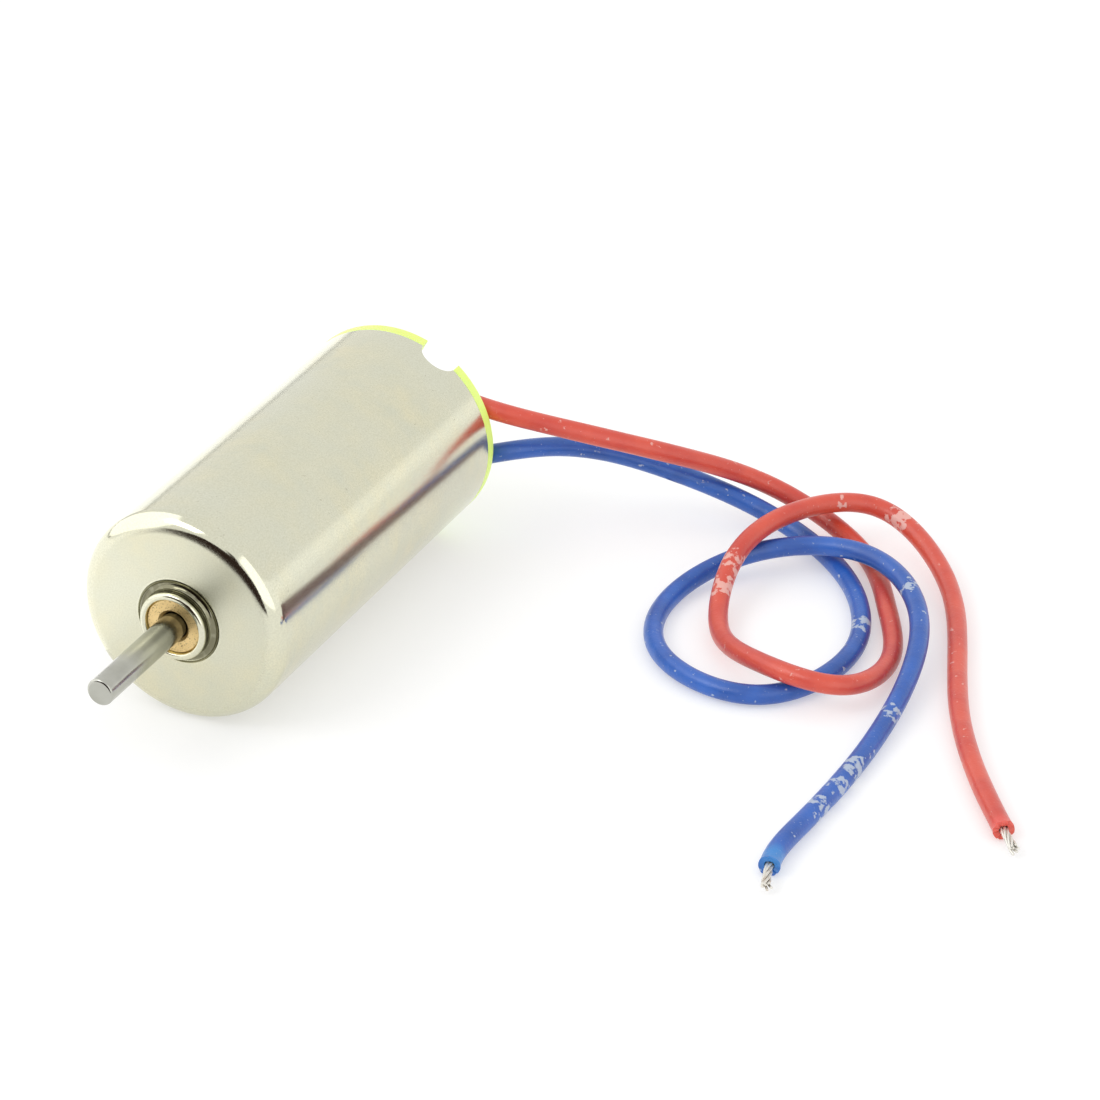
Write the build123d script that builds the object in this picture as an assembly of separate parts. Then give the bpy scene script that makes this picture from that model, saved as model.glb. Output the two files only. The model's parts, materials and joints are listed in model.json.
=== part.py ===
from build123d import *
import math
import os

# Coreless (hollow-cup) brushed DC micro motor with two flying leads, in millimetres.
#
# The shaft lies along Y and leaves the motor towards -Y. The origin is on the shaft axis,
# on the flat front face of the can. +Z is up: the motor lies on its side, and the leads
# trail away towards +X on the surface that the can rests on.

# ---- driving dimensions -------------------------------------------------------------
MOTOR_DIAMETER = 8.0
MOTOR_LENGTH = 16.0  # front face of the can to rear face of the end cap
SHAFT_DIAMETER = 1.0
LEAD_DIAMETER = 0.72  # over the insulation
CONDUCTOR_DIAMETER = 0.30

FREE_SHAFT = 4.75  # shaft that stands out of the boss
BOSS_HEIGHT = 0.5
CAP_FLANGE = 0.45  # thickness of the end cap's visible rim
WALL = 0.35  # sheet of the deep-drawn can
KEY_ANGLE = 60  # degrees from +X towards +Z, where the can and cap are notched

RUNNING_GAP = 0.015  # radial, shaft in its bushes
PRESS_GAP = 0.005  # radial, left between pieces that are pressed or bonded together
AIR_GAP = 0.2  # radial, either side of the winding
CONTACT_GAP = 0.01  # brush to commutator
END_PLAY = 0.03

# ---- rounded and bevelled edges -----------------------------------------------------
CAN_CORNER = 0.66
CAN_INNER_CORNER = 0.3
BOSS_RIM = 0.13
BOSS_MOUTH = 0.07
GROOVE_R = 0.2  # round groove at the foot of the boss
GROOVE_OFFSET = 0.16  # groove's centre, out from the boss wall
GROOVE_RISE = 0.12  # groove's centre, in front of the face
BUSH_MOUTH = 0.1
BUSH_EDGE = 0.05
MAGNET_EDGE = 0.12
SHAFT_TIP = 0.09
SHAFT_HEEL = 0.1
TUBE_EDGE = 0.1
HUB_EDGE = 0.15
WINDING_END = 0.2
BOND_SLOPE = 0.15
CAP_EDGE = 0.08

# ---- radii, from the axis outwards --------------------------------------------------
SHAFT_R = SHAFT_DIAMETER / 2
CAN_R = MOTOR_DIAMETER / 2
CAN_BORE_R = CAN_R - WALL
BUSH_R = 1.05
BOSS_R = 1.3
TUBE_R = BOSS_R
TUBE_BORE_R = BUSH_R + PRESS_GAP
TUBE_FLANGE_R = 2.0
WINDING_R = CAN_BORE_R - AIR_GAP
WINDING_BORE_R = WINDING_R - 0.6
WASHER_R = 0.95
BOND_INNER_R = WINDING_BORE_R - 0.35
BOND_OUTER_R = WINDING_BORE_R + 0.25
MAGNET_R = WINDING_BORE_R - AIR_GAP
MAGNET_BORE_R = TUBE_R + PRESS_GAP
CORE_R = 0.715
COMMUTATOR_R = 1.0
PLUG_R = CAN_BORE_R - PRESS_GAP
PAD_R = 0.85

# ---- stations along the shaft axis, front to rear -----------------------------------
BUSH_FRONT = 0.13 - BOSS_HEIGHT  # the front bush sits a little inside the boss
SHAFT_FRONT = -BOSS_HEIGHT - FREE_SHAFT
TUBE_FRONT = WALL
FLANGE_BACK = TUBE_FRONT + 0.4
MAGNET_FRONT = FLANGE_BACK + PRESS_GAP
MAGNET_BACK = 10.9
TUBE_BACK = 11.2
BUSH_BACK = 11.3
FRONT_BUSH_BACK = 1.65
REAR_BUSH_FRONT = 9.3
WASHER_FRONT = BUSH_BACK + END_PLAY
WASHER_BACK = WASHER_FRONT + 0.15
WINDING_FRONT = 1.4
WINDING_BACK = 12.25
HUB_FRONT = WASHER_BACK + PRESS_GAP
HUB_BACK = 12.4
BOND_HEIGHT = 0.2
COMMUTATOR_BACK = 13.9
CORE_BACK = COMMUTATOR_BACK + 0.05
PLUG_FRONT = 14.1
SHAFT_BACK = 14.6
PAD_FRONT = SHAFT_BACK + END_PLAY
PAD_BACK = PAD_FRONT + 0.2
CAN_BACK = MOTOR_LENGTH - CAP_FLANGE
NOTCH_STATION = CAN_BACK + 0.12  # centre of the can's round-bottomed notch

# ---- relief in the shaft, where it leaves the bush ----------------------------------
RELIEF_LENGTH = 0.6
RELIEF_DEPTH = 0.02
RELIEF_STATION = -BOSS_HEIGHT + 0.25

# ---- brush gear, in the cap's own frame ---------------------------------------------
# Local X points at the positive terminal, local Y lies along the shaft axis, and the
# key slot is on the local -Z side. The negative side is the same, half a turn away.
SLOT_WIDTH = 1.45
SLOT_DEPTH = 1.0
TERMINAL_X = 1.85  # inner face of the terminal sheet
TERMINAL_Z = -1.4
TERMINAL_WIDTH = 1.0
TERMINAL_SHEET = 0.2
TAB_LENGTH = 1.5
TAB_WIDTH = 1.2
BRUSH_SHEET = 0.08
BRUSH_FRONT = 12.95
BRUSH_BACK = 13.75
BRUSH_ROOT_LENGTH = 0.8
BRUSH_TIP = (0.2, 0.7)  # how far the free end leans out and reaches past the wiping line
FINGERS = 3
FINGER_GAP = 0.08
SPLIT_LENGTH = 2.5  # length of finger that is free

# ---- commutator ---------------------------------------------------------------------
SEGMENTS = 3
SEGMENT_GAP_ANGLE = 8
RISER_R = 1.6
RISER_ROOT_R = 0.9
RISER_WIDTH = 0.45
RISER_SHEET = 0.15
TAP_WIRE_R = 0.07
TAP_BEND_R = 0.15
TAP_STATION = HUB_BACK + 0.28
TAP_OUTER_R = WINDING_BORE_R + 0.35
TAP_INNER_R = 1.2
BEAD_R = 0.2
BEAD_HEIGHT = 0.24
BEAD_EDGE = 0.09
BEAD_PLACE_R = 1.4

# ---- lead paths ---------------------------------------------------------------------
# Each lead is a spline through these points. It starts on its solder joint, crosses the
# rear face, falls to the surface that the motor rests on, turns one loop and runs out
# to its bare end. Where strands cross, one is lifted by more than a lead's diameter.
RED_PATH = [
    (-1.3, 16.45, 1.9),  # on the positive terminal
    (0.9, 16.45, 1.6),
    (3.7, 16.5, 1.2),  # past the edge of the cap
    (5.5, 16.9, 0.9),
    (9.9, 19.7, -0.8),
    (12.7, 22.0, -2.6),
    (16.6, 20.9, -3.6),  # down on the surface
    (19.2, 17.4, -3.6),
    (20.8, 13.8, -3.5),
    (20.2, 10.7, -2.9),  # over the blue loop
    (17.0, 10.9, -2.9),
    (14.2, 13.7, -3.4),
    (13.5, 16.5, -2.6),
    (14.3, 20.0, -2.2),  # over both incoming leads
    (16.5, 22.4, -2.6),
    (19.7, 20.8, -3.3),
    (22.1, 17.0, -3.6),
    (24.2, 12.1, -3.6),
    (27.0, 7.6, -3.6),
    (29.2, 4.8, -3.6),  # tip of the bare end
]
BLUE_PATH = [
    (1.0, 16.45, -2.0),  # on the negative terminal
    (2.4, 16.45, -1.2),
    (4.1, 16.6, -0.5),  # past the edge of the cap
    (5.6, 18.2, -0.7),
    (9.4, 20.6, -2.1),
    (12.2, 21.1, -3.0),
    (15.7, 19.9, -3.6),  # down on the surface
    (18.3, 17.0, -3.6),
    (19.3, 13.7, -3.6),
    (17.5, 9.9, -3.6),
    (13.6, 10.6, -3.6),
    (11.9, 14.9, -3.6),
    (13.7, 18.2, -3.1),  # under the red loop
    (17.4, 19.2, -2.7),  # over both incoming leads
    (20.5, 16.9, -2.8),
    (21.9, 13.2, -3.2),
    (22.3, 9.0, -3.6),
    (22.2, 3.0, -3.6),
    (22.2, 0.7, -3.6),
    (22.7, -0.9, -3.6),  # tip of the bare end
]
INSULATION_BORE_R = CONDUCTOR_DIAMETER / 2 + 0.03
BARE_AT_TERMINAL = 1.3  # length of conductor stripped at the solder joint
BARE_AT_END = 1.2
SOLDER_HEIGHT = 0.7
SOLDER_R = 0.56


# ---- helpers ------------------------------------------------------------------------
def corner(face, radius, station):
    """The vertex of a turned profile nearest to a radius and a station on the axis."""
    return face.vertices().sort_by_distance((radius, station, 0))[0]


def turned(face):
    """A solid of revolution about the shaft axis."""
    return revolve(face, axis=Axis.Y)


def profile(*points):
    """A closed (radius, station) outline."""
    return make_face(Polyline(*points, close=True))


def ring(bore, radius, front, back):
    """A plain turned ring. A bore of 0 gives a disc."""
    return turned(profile((bore, front), (radius, front), (radius, back), (bore, back)))


def cap_frame():
    """The end cap's frame: X to the positive terminal, Y along the shaft, Z off the key."""
    key = math.radians(KEY_ANGLE)
    to_positive = (-math.sin(key), 0, math.cos(key))
    off_key = (-math.cos(key), 0, -math.sin(key))
    return Plane(origin=(0, 0, 0), x_dir=to_positive, z_dir=off_key)


def cap_box(*limits):
    """A block between a pair of limits on each axis of the cap's frame."""
    size = [high - low for low, high in limits]
    middle = [(low + high) / 2 for low, high in limits]
    return cap_frame() * Pos(*middle) * Box(*size)


def half_ball(radius, height):
    """A dome on the XZ plane that rises towards +Y."""
    dome = Sphere(radius, arc_size1=0, align=(Align.CENTER, Align.CENTER, Align.MIN))
    return Rot(-90, 0, 0) * scale(dome, by=(1, 1, height / radius))


def opposite(shape):
    """The same piece half a turn round the shaft axis."""
    return Rot(0, 180, 0) * shape


# ---- can, bearings and magnet -------------------------------------------------------
def housing_can():
    """Deep-drawn steel can with a raised boss on its front and a notch in its rear rim."""
    outline = profile(
        (BUSH_R + PRESS_GAP, -BOSS_HEIGHT),
        (BOSS_R, -BOSS_HEIGHT),
        (BOSS_R, 0),
        (CAN_R, 0),
        (CAN_R, CAN_BACK),
        (CAN_BORE_R, CAN_BACK),
        (CAN_BORE_R, WALL),
        (BUSH_R + PRESS_GAP, WALL),
    )
    outline = fillet(corner(outline, CAN_R, 0), CAN_CORNER)
    outline = fillet(corner(outline, CAN_BORE_R, WALL), CAN_INNER_CORNER)
    outline = fillet(corner(outline, BOSS_R, -BOSS_HEIGHT), BOSS_RIM)
    outline = fillet(corner(outline, BUSH_R + PRESS_GAP, -BOSS_HEIGHT), BOSS_MOUTH)
    can = turned(outline)
    can -= turned(Pos(BOSS_R + GROOVE_OFFSET, -GROOVE_RISE) * Circle(GROOVE_R))
    notch = Pos(0, NOTCH_STATION, CAN_R) * Cylinder(SLOT_WIDTH / 2, 3 * WALL)
    return can - Rot(0, 90 - KEY_ANGLE, 0) * notch


def bearing_tube():
    """Tube on the can's axis that carries the magnet and the rear bush."""
    outline = profile(
        (TUBE_BORE_R, TUBE_FRONT),
        (TUBE_FLANGE_R, TUBE_FRONT),
        (TUBE_FLANGE_R, FLANGE_BACK),
        (TUBE_R, FLANGE_BACK),
        (TUBE_R, TUBE_BACK),
        (TUBE_BORE_R, TUBE_BACK),
    )
    return turned(chamfer(corner(outline, TUBE_R, TUBE_BACK), TUBE_EDGE))


def bush(front, back):
    """Sintered bronze bush with a countersunk mouth at both ends of its bore."""
    bore = SHAFT_R + RUNNING_GAP
    outline = profile((bore, front), (BUSH_R, front), (BUSH_R, back), (bore, back))
    for radius, depth in ((bore, BUSH_MOUTH), (BUSH_R, BUSH_EDGE)):
        for station in (front, back):
            outline = chamfer(corner(outline, radius, station), depth)
    return turned(outline)


def ring_magnet():
    """Neodymium ring, magnetised across its diameter, bonded to the bearing tube."""
    magnet = ring(MAGNET_BORE_R, MAGNET_R, MAGNET_FRONT, MAGNET_BACK)
    return chamfer(magnet.edges().filter_by(GeomType.CIRCLE), MAGNET_EDGE)


# ---- rotor --------------------------------------------------------------------------
def shaft():
    """Ground steel shaft. A shallow relief marks where its free end begins."""
    outline = profile((0, SHAFT_FRONT), (SHAFT_R, SHAFT_FRONT), (SHAFT_R, SHAFT_BACK), (0, SHAFT_BACK))
    outline = fillet(corner(outline, SHAFT_R, SHAFT_FRONT), SHAFT_TIP)
    outline = chamfer(corner(outline, SHAFT_R, SHAFT_BACK), SHAFT_HEEL)
    relief_r = (RELIEF_LENGTH**2 / 4 + RELIEF_DEPTH**2) / (2 * RELIEF_DEPTH)
    relief = Pos(SHAFT_R - RELIEF_DEPTH + relief_r, RELIEF_STATION) * Circle(relief_r)
    near_wall = Pos(SHAFT_R, RELIEF_STATION) * Rectangle(2 * RELIEF_LENGTH, 2 * RELIEF_LENGTH)
    return turned(outline - (relief & near_wall))


def thrust_washer():
    """Low-friction washer between the rear bush and the rotor hub."""
    return ring(SHAFT_R + PRESS_GAP, WASHER_R, WASHER_FRONT, WASHER_BACK)


def rotor_hub():
    """Moulded disc that carries the winding, in one piece with the commutator's core."""
    outline = profile(
        (SHAFT_R + PRESS_GAP, HUB_FRONT),
        (WINDING_BORE_R - PRESS_GAP, HUB_FRONT),
        (WINDING_BORE_R - PRESS_GAP, HUB_BACK),
        (CORE_R, HUB_BACK),
        (CORE_R, CORE_BACK),
        (SHAFT_R + PRESS_GAP, CORE_BACK),
    )
    outline = chamfer(corner(outline, WINDING_BORE_R, HUB_FRONT), HUB_EDGE)
    return turned(outline)


def winding_cup():
    """Self-supporting cup of skew-wound, bonded enamelled wire with rounded ends."""
    cup = ring(WINDING_BORE_R, WINDING_R, WINDING_FRONT, WINDING_BACK)
    return fillet(cup.edges().filter_by(GeomType.CIRCLE), WINDING_END)


def winding_bond():
    """Bead of epoxy in the corner between the cup's rear end and the hub."""
    front = HUB_BACK + PRESS_GAP
    back = front + BOND_HEIGHT
    outline = profile(
        (BOND_INNER_R, front), (BOND_OUTER_R, front), (BOND_OUTER_R, back), (BOND_INNER_R, back)
    )
    outline = chamfer(corner(outline, BOND_OUTER_R, back), BOND_SLOPE)
    return turned(outline)


def commutator_segments():
    """Precious-metal segments round the core, each with a riser for its winding tap."""
    front = HUB_BACK + PRESS_GAP
    barrel = ring(CORE_R + PRESS_GAP, COMMUTATOR_R, front, COMMUTATOR_BACK)
    gap = math.radians(SEGMENT_GAP_ANGLE) * COMMUTATOR_R
    split = Pos(COMMUTATOR_R, (front + COMMUTATOR_BACK) / 2, 0) * Box(COMMUTATOR_R, COMMUTATOR_BACK, gap)
    for k in range(SEGMENTS):
        barrel -= Rot(0, 360 / SEGMENTS * k, 0) * split
    riser_size = (RISER_R - RISER_ROOT_R, RISER_SHEET, RISER_WIDTH)
    riser = Pos((RISER_ROOT_R + RISER_R) / 2, front + RISER_SHEET / 2, 0) * Box(*riser_size)
    segments = []
    for segment in barrel.solids():
        middle = segment.center()
        angle = math.degrees(math.atan2(-middle.Z, middle.X))
        segments.append(segment + Rot(0, angle, 0) * riser)
    return segments


def riser_angles():
    """Angles of the risers about the shaft, half way between the gaps."""
    return [360 / SEGMENTS * (k + 0.5) for k in range(SEGMENTS)]


def winding_taps():
    """Short wires from the rear end of the cup to the commutator risers."""
    path = FilletPolyline(
        (TAP_OUTER_R, WINDING_BACK + PRESS_GAP, 0),
        (TAP_OUTER_R, TAP_STATION, 0),
        (TAP_INNER_R, TAP_STATION, 0),
        radius=TAP_BEND_R,
    )
    tap = swept(path, TAP_WIRE_R)
    return [Rot(0, angle, 0) * tap for angle in riser_angles()]


def tap_solder():
    """Solder that joins each tap to its riser."""
    top = HUB_BACK + PRESS_GAP + RISER_SHEET
    outline = profile((0, top), (BEAD_R, top), (BEAD_R, top + BEAD_HEIGHT), (0, top + BEAD_HEIGHT))
    outline = chamfer(corner(outline, BEAD_R, top + BEAD_HEIGHT), BEAD_EDGE)
    bead = Pos(BEAD_PLACE_R, 0, 0) * turned(outline)
    beads = [Rot(0, angle, 0) * bead for angle in riser_angles()]
    return [bead - tap for bead, tap in zip(beads, winding_taps())]


# ---- end cap and brush gear ---------------------------------------------------------
def end_cap():
    """Moulded plug and flange that closes the can and holds the brush gear."""
    cap = ring(0, PLUG_R, PLUG_FRONT, CAN_BACK + PRESS_GAP)
    flange = ring(0, CAN_R, CAN_BACK + PRESS_GAP, MOTOR_LENGTH)
    cap += fillet(flange.edges().group_by(Axis.Y)[-1], CAP_EDGE)
    cap -= ring(0, PAD_R + PRESS_GAP, PLUG_FRONT - PAD_R, PAD_BACK)
    half = SLOT_WIDTH / 2
    cap -= cap_box((-half, half), (0, 2 * MOTOR_LENGTH), (-2 * CAN_R, SLOT_DEPTH - CAN_R))
    pocket = terminal(PRESS_GAP)
    return cap - pocket - opposite(pocket)


def terminal(grow=0):
    """Positive terminal: a leg through the cap and a solder tab, grown by a gap."""
    half = TERMINAL_WIDTH / 2
    leg_x = (TERMINAL_X - grow, TERMINAL_X + TERMINAL_SHEET + grow)
    leg_z = (TERMINAL_Z - half - grow, TERMINAL_Z + half + grow)
    leg = cap_box(leg_x, (BRUSH_FRONT - grow, MOTOR_LENGTH), leg_z)
    tab_middle = TERMINAL_X + TERMINAL_SHEET / 2
    tab_x = (tab_middle - TAB_WIDTH / 2 - grow, tab_middle + TAB_WIDTH / 2 + grow)
    tab_z = (leg_z[0], leg_z[0] + TAB_LENGTH + 2 * grow)
    tab = cap_box(tab_x, (MOTOR_LENGTH - TERMINAL_SHEET - grow, MOTOR_LENGTH), tab_z)
    return leg + tab


def brush():
    """Positive brush: a spring strip split into fingers that wipe the commutator."""
    root = TERMINAL_X - PRESS_GAP - BRUSH_SHEET / 2
    wipe = COMMUTATOR_R + CONTACT_GAP + BRUSH_SHEET / 2
    lean, reach = BRUSH_TIP
    line = Polyline(
        (root, TERMINAL_Z - BRUSH_ROOT_LENGTH / 2),
        (root, TERMINAL_Z + BRUSH_ROOT_LENGTH / 2),
        (wipe, 0),
        (wipe + lean, reach),
    )
    strip = make_face(offset(line, BRUSH_SHEET / 2, side=Side.BOTH))
    width = BRUSH_BACK - BRUSH_FRONT
    blade = extrude(strip, width)
    split = Box(2 * COMMUTATOR_R, SPLIT_LENGTH, FINGER_GAP, align=(Align.CENTER, Align.MAX, Align.CENTER))
    split = Pos(wipe, 2 * reach, 0) * split
    for k in range(1, FINGERS):
        blade -= Pos(0, 0, k * width / FINGERS) * split
    # The strip is drawn looking along the shaft, in the cap frame's X and Z.
    sketch_plane = Plane(origin=(0, BRUSH_BACK, 0), x_dir=cap_frame().x_dir, z_dir=(0, -1, 0))
    return sketch_plane * blade


# ---- leads --------------------------------------------------------------------------
def swept(path, radius):
    """A round bar along a path."""
    section = Plane(origin=path @ 0, z_dir=path % 0) * Circle(radius)
    return sweep(section, path=path, is_frenet=True)


def conductor(points):
    """The stranded conductor as one round bar from its solder joint to its bare tip."""
    return swept(Spline(*points), CONDUCTOR_DIAMETER / 2)


def insulation(points):
    """Sleeve on the conductor, stripped back at both ends."""
    whole = Spline(*points)
    sleeve = whole.trim(BARE_AT_TERMINAL / whole.length, 1 - BARE_AT_END / whole.length)
    wall = Circle(LEAD_DIAMETER / 2) - Circle(INSULATION_BORE_R)
    section = Plane(origin=sleeve @ 0, z_dir=sleeve % 0) * wall
    return sweep(section, path=sleeve, is_frenet=True)


def solder_joint(points, wire):
    """Domed solder over the start of a conductor."""
    x, _, z = points[0]
    return Pos(x, MOTOR_LENGTH, z) * half_ball(SOLDER_R, SOLDER_HEIGHT) - wire


def build():
    """Every node of the motor, by name."""
    red_wire = conductor(RED_PATH)
    blue_wire = conductor(BLUE_PATH)
    return {
        "housing_can": housing_can(),
        "bearing_tube": bearing_tube(),
        "front_bush": bush(BUSH_FRONT, FRONT_BUSH_BACK),
        "rear_bush": bush(REAR_BUSH_FRONT, BUSH_BACK),
        "ring_magnet": ring_magnet(),
        "shaft": shaft(),
        "thrust_washer": thrust_washer(),
        "rotor_hub": rotor_hub(),
        "winding_cup": winding_cup(),
        "winding_bond": winding_bond(),
        "commutator_segments": Compound(commutator_segments()),
        "winding_taps": Compound(winding_taps()),
        "tap_solder": Compound(tap_solder()),
        "end_cap": end_cap(),
        "thrust_pad": ring(0, PAD_R, PAD_FRONT, PAD_BACK - PRESS_GAP),
        "terminal_positive": terminal(),
        "terminal_negative": opposite(terminal()),
        "brush_positive": brush(),
        "brush_negative": opposite(brush()),
        "solder_positive": solder_joint(RED_PATH, red_wire),
        "solder_negative": solder_joint(BLUE_PATH, blue_wire),
        "red_conductor": red_wire,
        "blue_conductor": blue_wire,
        "red_insulation": insulation(RED_PATH),
        "blue_insulation": insulation(BLUE_PATH),
    }


os.makedirs("parts", exist_ok=True)
for node, shape in build().items():
    export_step(shape, f"parts/{node}.step")
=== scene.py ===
import json
import math
import random

import bmesh
import bpy
import numpy as np
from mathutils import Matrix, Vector

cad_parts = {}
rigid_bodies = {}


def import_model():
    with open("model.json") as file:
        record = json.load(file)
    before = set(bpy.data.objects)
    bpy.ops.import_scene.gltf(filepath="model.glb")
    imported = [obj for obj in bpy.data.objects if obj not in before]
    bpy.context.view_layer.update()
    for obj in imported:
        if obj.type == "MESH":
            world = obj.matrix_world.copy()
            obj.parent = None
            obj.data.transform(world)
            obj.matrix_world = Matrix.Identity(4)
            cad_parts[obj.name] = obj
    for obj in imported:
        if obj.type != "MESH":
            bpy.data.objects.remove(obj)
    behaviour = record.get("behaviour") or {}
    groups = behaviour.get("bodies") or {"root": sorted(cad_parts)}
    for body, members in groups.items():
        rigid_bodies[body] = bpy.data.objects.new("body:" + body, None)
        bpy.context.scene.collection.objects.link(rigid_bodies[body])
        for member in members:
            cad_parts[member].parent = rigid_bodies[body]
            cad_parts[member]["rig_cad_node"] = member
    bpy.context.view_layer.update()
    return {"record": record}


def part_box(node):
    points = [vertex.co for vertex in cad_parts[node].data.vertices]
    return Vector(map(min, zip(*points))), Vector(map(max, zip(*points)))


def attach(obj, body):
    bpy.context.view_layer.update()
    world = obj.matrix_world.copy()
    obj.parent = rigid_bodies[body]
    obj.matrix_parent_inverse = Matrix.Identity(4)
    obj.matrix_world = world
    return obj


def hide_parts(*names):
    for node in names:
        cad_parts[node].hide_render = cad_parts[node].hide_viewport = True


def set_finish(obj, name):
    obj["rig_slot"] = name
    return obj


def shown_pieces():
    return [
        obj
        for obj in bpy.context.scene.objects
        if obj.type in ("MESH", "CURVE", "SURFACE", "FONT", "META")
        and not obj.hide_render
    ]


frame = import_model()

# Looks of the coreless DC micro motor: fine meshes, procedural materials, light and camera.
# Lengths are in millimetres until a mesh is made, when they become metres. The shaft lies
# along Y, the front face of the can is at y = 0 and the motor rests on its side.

MM = 0.001
SEED = 8


# ---- sizes, from the frame where a node gives them ----------------------------------
def low(node):
    """Lowest corner of a CAD node, in millimetres."""
    return np.array(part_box(node)[0]) / MM


def high(node):
    """Highest corner of a CAD node, in millimetres."""
    return np.array(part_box(node)[1]) / MM


CAN_R = high("housing_can")[0]
CAN_BACK = high("housing_can")[1]
BOSS_FRONT = low("housing_can")[1]
CAP_BACK = high("end_cap")[1]
PLUG_FRONT = low("end_cap")[1]
BUSH_R = high("front_bush")[0]
SHAFT_R = high("shaft")[0]
FLOOR = -CAN_R

WALL = 0.35
BOSS_R = 1.3
CORNER_R = 0.66
GROOVE_R = 0.2
RUNNING_GAP = 0.015
PRESS_GAP = 0.005
KEY = math.radians(60)  # direction of the notch, from +X towards +Z
SLOT_WIDTH = 1.45
SLOT_DEPTH = 1.0
NOTCH_CENTRE = CAN_BACK + 0.12
LEAD_R = 0.36
LEAD_BORE_R = 0.175
STRAND_R = 0.052
STRAND_PITCH = 2.6
BARE_AT_TERMINAL = 1.3
BARE_AT_END = 1.2

RED_PATH = [
    (-1.3, 16.45, 1.9), (0.9, 16.45, 1.6), (3.7, 16.5, 1.2), (5.5, 16.9, 0.9),
    (9.9, 19.7, -0.8), (12.7, 22.0, -2.6), (16.6, 20.9, -3.6), (19.2, 17.4, -3.6),
    (20.8, 13.8, -3.5), (20.2, 10.7, -2.9), (17.0, 10.9, -2.9), (14.2, 13.7, -3.4),
    (13.5, 16.5, -2.6), (14.3, 20.0, -2.2), (16.5, 22.4, -2.6), (19.7, 20.8, -3.3),
    (22.1, 17.0, -3.6), (24.2, 12.1, -3.6), (27.0, 7.6, -3.6), (29.2, 4.8, -3.6),
]
BLUE_PATH = [
    (1.0, 16.45, -2.0), (2.4, 16.45, -1.2), (4.1, 16.6, -0.5), (5.6, 18.2, -0.7),
    (9.4, 20.6, -2.1), (12.2, 21.1, -3.0), (15.7, 19.9, -3.6), (18.3, 17.0, -3.6),
    (19.3, 13.7, -3.6), (17.5, 9.9, -3.6), (13.6, 10.6, -3.6), (11.9, 14.9, -3.6),
    (13.7, 18.2, -3.1), (17.4, 19.2, -2.7), (20.5, 16.9, -2.8), (21.9, 13.2, -3.2),
    (22.3, 9.0, -3.6), (22.2, 3.0, -3.6), (22.2, 0.7, -3.6), (22.7, -0.9, -3.6),
]

# Pale scuffs on the sleeves, and a lighter, brighter tone near their free ends: distance along the lead
# from its solder joint, and reach. They are on the side that faces the camera.
BLUE_SCUFFS = [(22.5, 0.75), (48.8, 0.55), (56.5, 0.65), (60.0, 0.85), (61.2, 0.7), (62.7, 0.85)]
RED_SCUFFS = [(41.7, 0.8), (42.9, 0.9), (48.8, 0.33), (51.2, 0.8)]
BLUE_END = [(66.3, 0.7)]
RED_END = [(71.0, 0.5)]

# Where the camera stands, seen from the motor: degrees from -Y towards +X, and above the floor.
CAMERA_AZIMUTH = 26.621
CAMERA_ELEVATION = 30.07


# ---- mesh helpers -------------------------------------------------------------------
def arc(centre, radius, start, end, steps=12):
    """Points on an arc in the (radius, station) plane, angles in degrees."""
    angles = np.radians(np.linspace(start, end, steps + 1))
    return [(centre[0] + radius * math.cos(a), centre[1] + radius * math.sin(a)) for a in angles]


def new_piece(name, verts, faces, node, slot, body="motor_body", sharp=35):
    """A closed mesh from points in millimetres that stands for a CAD node and rides its body."""
    mesh = bpy.data.meshes.new(name)
    mesh.from_pydata([tuple(MM * c for c in v) for v in verts], [], faces)
    bm = bmesh.new()
    bm.from_mesh(mesh)
    bmesh.ops.remove_doubles(bm, verts=bm.verts, dist=1e-9)
    bmesh.ops.recalc_face_normals(bm, faces=bm.faces)
    bm.to_mesh(mesh)
    bm.free()
    return adopt(name, mesh, node, slot, body, sharp)


def adopt(name, mesh, node, slot, body, sharp=35):
    """Put a mesh into the scene in place of a CAD node."""
    mesh.shade_smooth()
    mesh.set_sharp_from_angle(angle=math.radians(sharp))
    piece = bpy.data.objects.new(name, mesh)
    bpy.context.scene.collection.objects.link(piece)
    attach(piece, body)
    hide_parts(node)
    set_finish(piece, slot)
    return piece


def lathe_mesh(outline, angles, warp=None):
    """Vertices and faces of an outline of (radius, station) points turned about Y."""
    verts, rings = [], []
    for radius, station in outline:
        if radius < 1e-6:
            rings.append([len(verts)])
            verts.append((0, station, 0))
            continue
        rings.append(list(range(len(verts), len(verts) + len(angles))))
        for a in angles:
            r, y = warp(radius, station, a) if warp else (radius, station)
            verts.append((r * math.cos(a), y, r * math.sin(a)))
    faces = []
    open_ended = len(rings[0]) == 1 and len(rings[-1]) == 1
    pairs = list(zip(rings, rings[1:])) if open_ended else list(zip(rings, rings[1:] + rings[:1]))
    for one, two in pairs:
        for i in range(len(angles)):
            j = (i + 1) % len(angles)
            corners = [one[i % len(one)], one[j % len(one)], two[j % len(two)], two[i % len(two)]]
            corners = list(dict.fromkeys(corners))
            if len(corners) > 2:
                faces.append(corners)
    return verts, faces


def turned(name, outline, node, slot, body="motor_body", count=192, warp=None, angles=None):
    """A turned piece that stands for a CAD node."""
    if angles is None:
        angles = np.linspace(0, 2 * math.pi, count, endpoint=False)
    verts, faces = lathe_mesh(outline, angles, warp)
    return new_piece(name, verts, faces, node, slot, body)


def evaluated_mesh(obj):
    """The mesh that an object's modifiers make."""
    graph = bpy.context.evaluated_depsgraph_get()
    return bpy.data.meshes.new_from_object(obj.evaluated_get(graph))


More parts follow.
